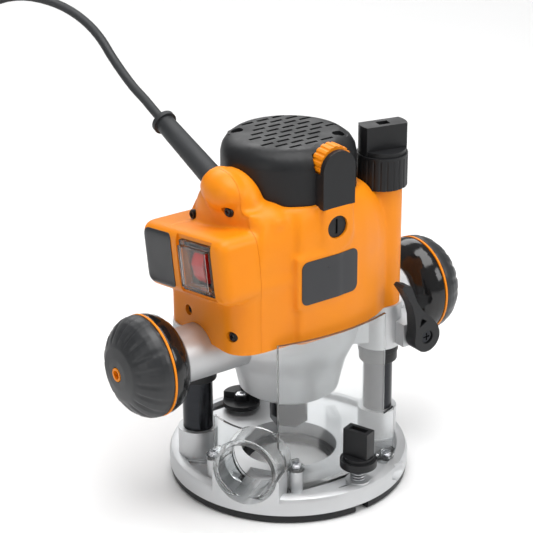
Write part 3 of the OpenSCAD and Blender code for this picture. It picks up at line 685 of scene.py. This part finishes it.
# ---------------------------------------------------------------------------
# Badge, plate, brush caps and switch: printed film on the shells, left blank,
# slotted caps over the brushes, and a red rocker under a clear vinyl boot.
# ---------------------------------------------------------------------------
label_film = new_finish("label film", (0.014, 0.015, 0.018), 0.32)
film_cloud = noise_in(label_film, 60.0)
mottle(label_film, film_cloud, (0.011, 0.012, 0.015), (0.019, 0.020, 0.024))
uneven_gloss(label_film, film_cloud, 0.26, 0.38)
for piece, name in ((plate, "rating_plate"), (badge, "front_badge")):
    only(piece)
    bpy.ops.object.shade_smooth_by_angle(angle=SHARP_EDGE)
    dress(piece, label_film)
    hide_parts(name)
    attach(piece, "carriage")
for name in ("brush_caps", "switch_body", "cord_clamp"):
    dress_node(name, sole_plastic)
    soften(name, 0.0003)
boot_vinyl = new_finish("clear vinyl", (0.95, 0.95, 0.95), 0.12)
shader_of(boot_vinyl).inputs["Transmission Weight"].default_value = 1.0
shader_of(boot_vinyl).inputs["IOR"].default_value = 1.3
uneven_gloss(boot_vinyl, noise_in(boot_vinyl, 120.0), 0.08, 0.16)
dress_node("switch_boot", boot_vinyl)
soften("switch_boot", 0.0006)
red_plastic = new_finish("red rocker plastic", (0.62, 0.02, 0.015), 0.25)
mottle(red_plastic, noise_in(red_plastic, 90.0), (0.62, 0.010, 0.008), (0.75, 0.018, 0.014))
dress_node("switch_rocker", red_plastic)
soften("switch_rocker", 0.0006)
dress_node("cord_guard", sheath_rubber)
soften("cord_guard", 0.0008, segments=3)

# ---------------------------------------------------------------------------
# Side knobs: each is a fluted satin grip and a glossy dome at the back, with
# an orange ring between them and an orange insert over the bolt.
# ---------------------------------------------------------------------------
gloss_plastic = new_finish("gloss black plastic", (0.012, 0.012, 0.013), 0.14)
gloss_cloud = noise_in(gloss_plastic, 50.0)
mottle(gloss_plastic, gloss_cloud, (0.006, 0.006, 0.0065), (0.010, 0.010, 0.0105))
knob_plastic = new_finish("satin black plastic", (0.035, 0.037, 0.04), 0.4)
knob_cloud = noise_in(knob_plastic, 80.0)
mottle(knob_plastic, knob_cloud, (0.017, 0.018, 0.0195), (0.028, 0.0295, 0.032))
uneven_gloss(knob_plastic, knob_cloud, 0.34, 0.48)
KNOB_HEIGHT = 0.1055
KNOB_FACE = 108.0
KNOB_PROFILE = ((4.5, 10.0), (4.5, 22.6), (5.0, 23.0), (10.0, 22.8), (17.0, 21.3), (22.5, 18.6),
                (27.0, 15.0), (30.2, 11.2), (32.2, 7.2), (33.0, 3.6), (32.8, 1.2), (32.3, 0.75),
                (20.0, 0.75), (6.2, 0.75), (6.2, 10.0))
KNOB_FLUTES = 18
FLUTE_START, FLUTE_SPAN = 18.5, 15.5
FLUTE_DEPTH, FLUTE_DROP = 0.8, 0.7


def on_profile(profile, share):
    """The point at share (0 to 1) of the way along a profile of (radius, height) points."""
    steps = [math.dist(a, b) for a, b in zip(profile, profile[1:])]
    left = share * sum(steps)
    for (a, b), step in zip(zip(profile, profile[1:]), steps):
        if left <= step:
            return tuple(a[i] + (b[i] - a[i]) * left / step for i in range(2))
        left -= step
    return profile[-1]


def ribbed_knob(name, side):
    """A grip turned from the profile, with flutes pressed in near its rim."""
    deselect_all()
    bpy.ops.mesh.primitive_torus_add(major_segments=KNOB_FLUTES * 12, minor_segments=110,
                                     major_radius=1.0, minor_radius=0.25)
    knob = bpy.context.view_layer.objects.active
    knob.name = name
    for vertex in knob.data.vertices:
        around = math.atan2(vertex.co.y, vertex.co.x)
        out = math.hypot(vertex.co.x, vertex.co.y) - 1.0
        share = (math.atan2(vertex.co.z, out) / (2 * math.pi)) % 1.0
        radius, height = on_profile(KNOB_PROFILE + KNOB_PROFILE[:1], share)
        near_rim = math.sin(math.pi * max(0.0, min(1.0, (radius - FLUTE_START) / FLUTE_SPAN)))
        flute = max(0.0, math.cos(KNOB_FLUTES * around)) ** 1.5
        if height > 2.0 and radius > FLUTE_START:
            radius -= FLUTE_DEPTH * near_rim * flute * (radius / 33.0)
            height -= FLUTE_DROP * near_rim * flute * (height / 21.0)
        vertex.co = (side * (KNOB_FACE + height) / 1000, radius * math.cos(around) / 1000,
                     KNOB_HEIGHT + radius * math.sin(around) / 1000)
    only(knob)
    bpy.ops.object.mode_set(mode="EDIT")
    bpy.ops.mesh.select_all(action="SELECT")
    bpy.ops.mesh.normals_make_consistent(inside=False)
    bpy.ops.object.mode_set(mode="OBJECT")
    bpy.ops.object.shade_smooth_by_angle(angle=math.radians(40))
    return knob


for side, name in ((-1, "left"), (1, "right")):
    grip = ribbed_knob(f"grip_{name}", side)
    dress(grip, knob_plastic)
    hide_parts(f"knob_{name}_front")
    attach(grip, "carriage")
    dress_node(f"knob_{name}_ring", orange_nylon)
    dress_node(f"knob_{name}_back", gloss_plastic)
    soften(f"knob_{name}_back", 0.0010, segments=3)
dress_node("knob_inserts", orange_nylon)

# ---------------------------------------------------------------------------
# Plunge lock and height knob: a moulded lever on a clamp bolt, and a ribbed
# knob that turns the height screw over the right column.
# ---------------------------------------------------------------------------
dress_node("lock_lever", sole_plastic)
soften("lock_lever", 0.0010, segments=3)
dress_node("lever_screw", black_steel)
dress_node("height_knob", sole_plastic)
soften("height_knob", 0.0016, angle=50.0, segments=4)

# ---------------------------------------------------------------------------
# Motor: rotor on its two bearings, stator, commutator and brushes, collet.
# ---------------------------------------------------------------------------
ground_steel = new_finish("ground steel", (0.56, 0.57, 0.59), 0.25, 1.0)
grind = noise_in(ground_steel, 900.0, 2.0, stretch=(0.06, 0.06, 1.0))
mottle(ground_steel, grind, (0.48, 0.49, 0.51), (0.64, 0.65, 0.67))
lamination = new_finish("stacked laminations", (0.3, 0.31, 0.33), 0.45, 1.0)
stacking = noise_in(lamination, 1500.0, 1.0, stretch=(0.02, 0.02, 1.0))
mottle(lamination, stacking, (0.2, 0.21, 0.22), (0.42, 0.43, 0.45))
copper = new_finish("copper", (0.72, 0.36, 0.2), 0.3, 1.0)
mottle(copper, noise_in(copper, 120.0), (0.62, 0.30, 0.16), (0.78, 0.42, 0.25))
winding = new_finish("enamelled wire", (0.42, 0.18, 0.06), 0.35, 0.7)
mottle(winding, noise_in(winding, 900.0, 1.0), (0.34, 0.13, 0.04), (0.5, 0.24, 0.09))
brass = new_finish("pressed brass", (0.78, 0.57, 0.25), 0.3, 1.0)
mottle(brass, noise_in(brass, 120.0), (0.7, 0.5, 0.2), (0.83, 0.63, 0.3))
graphite = new_finish("graphite", (0.03, 0.03, 0.032), 0.5)
mottle(graphite, noise_in(graphite, 500.0), (0.022, 0.022, 0.024), (0.045, 0.045, 0.047))
board = new_finish("circuit board", (0.01, 0.09, 0.03), 0.35)
mottle(board, noise_in(board, 200.0), (0.008, 0.07, 0.02), (0.015, 0.12, 0.04))
white_nylon = new_finish("natural nylon", (0.7, 0.69, 0.63), 0.45)
mottle(white_nylon, noise_in(white_nylon, 80.0), (0.64, 0.63, 0.57), (0.75, 0.74, 0.68))
for name, finish in (("armature_shaft", ground_steel), ("shaft_bearings", ground_steel),
                     ("collet", ground_steel), ("depth_rod", ground_steel),
                     ("collet_nut", black_steel), ("armature_core", lamination),
                     ("stator_core", lamination), ("commutator", copper),
                     ("field_coils", winding), ("brush_holders", brass),
                     ("carbon_brushes", graphite), ("speed_board", board),
                     ("cooling_fan", white_nylon)):
    dress_node(name, finish)
